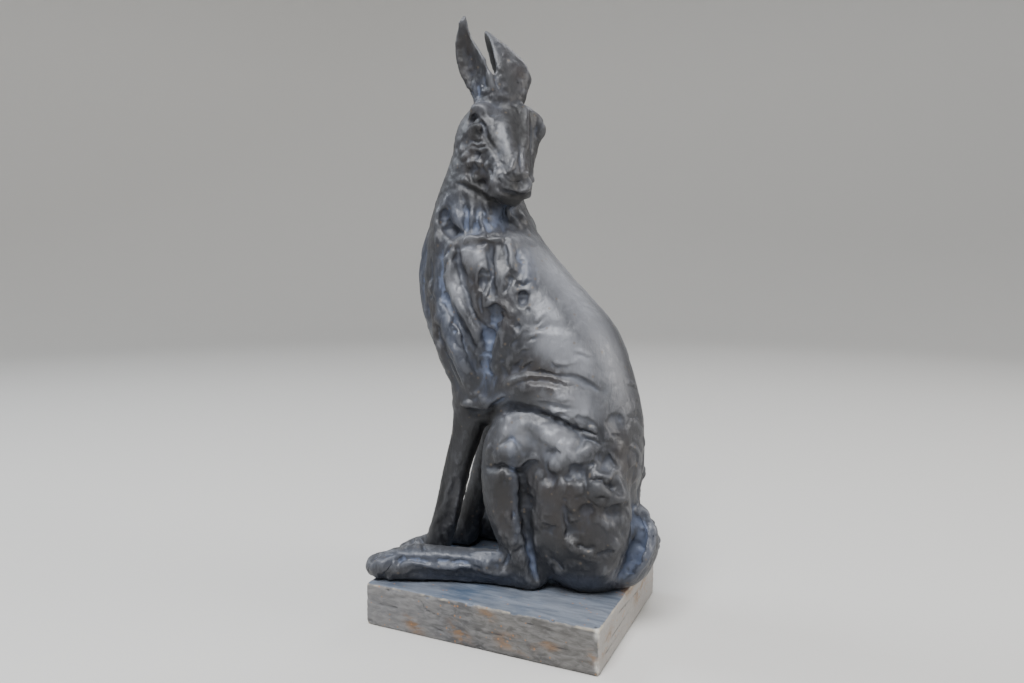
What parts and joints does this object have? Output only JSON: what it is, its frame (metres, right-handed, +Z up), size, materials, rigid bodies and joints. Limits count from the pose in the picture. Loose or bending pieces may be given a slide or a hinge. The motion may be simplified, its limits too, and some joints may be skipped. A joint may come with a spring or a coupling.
{
  "type": "hare sculpture",
  "caption": "Seated hare looking back over its shoulder, roughly modelled fur, cast in resin with a dark bronze patina, on a low rectangular plinth.",
  "frame": {"origin": "centre of the plinth's underside", "axes": "+Z up; the hare's breast faces -X, its left side -Y"},
  "size_m": [0.2187, 0.151, 0.4723],
  "materials": {
    "dark_bronze_patina": "cast resin painted as dark bronze, semi-gloss, with blue-grey in the hollows and brown on the high spots",
    "grey_blue_plinth_paint": "matt grey-blue paint with worn cream edges and rusty brown patches"
  },
  "bodies": {
    "root": {"hare": "dark_bronze_patina", "plinth": "grey_blue_plinth_paint"}
  },
  "joints": []
}
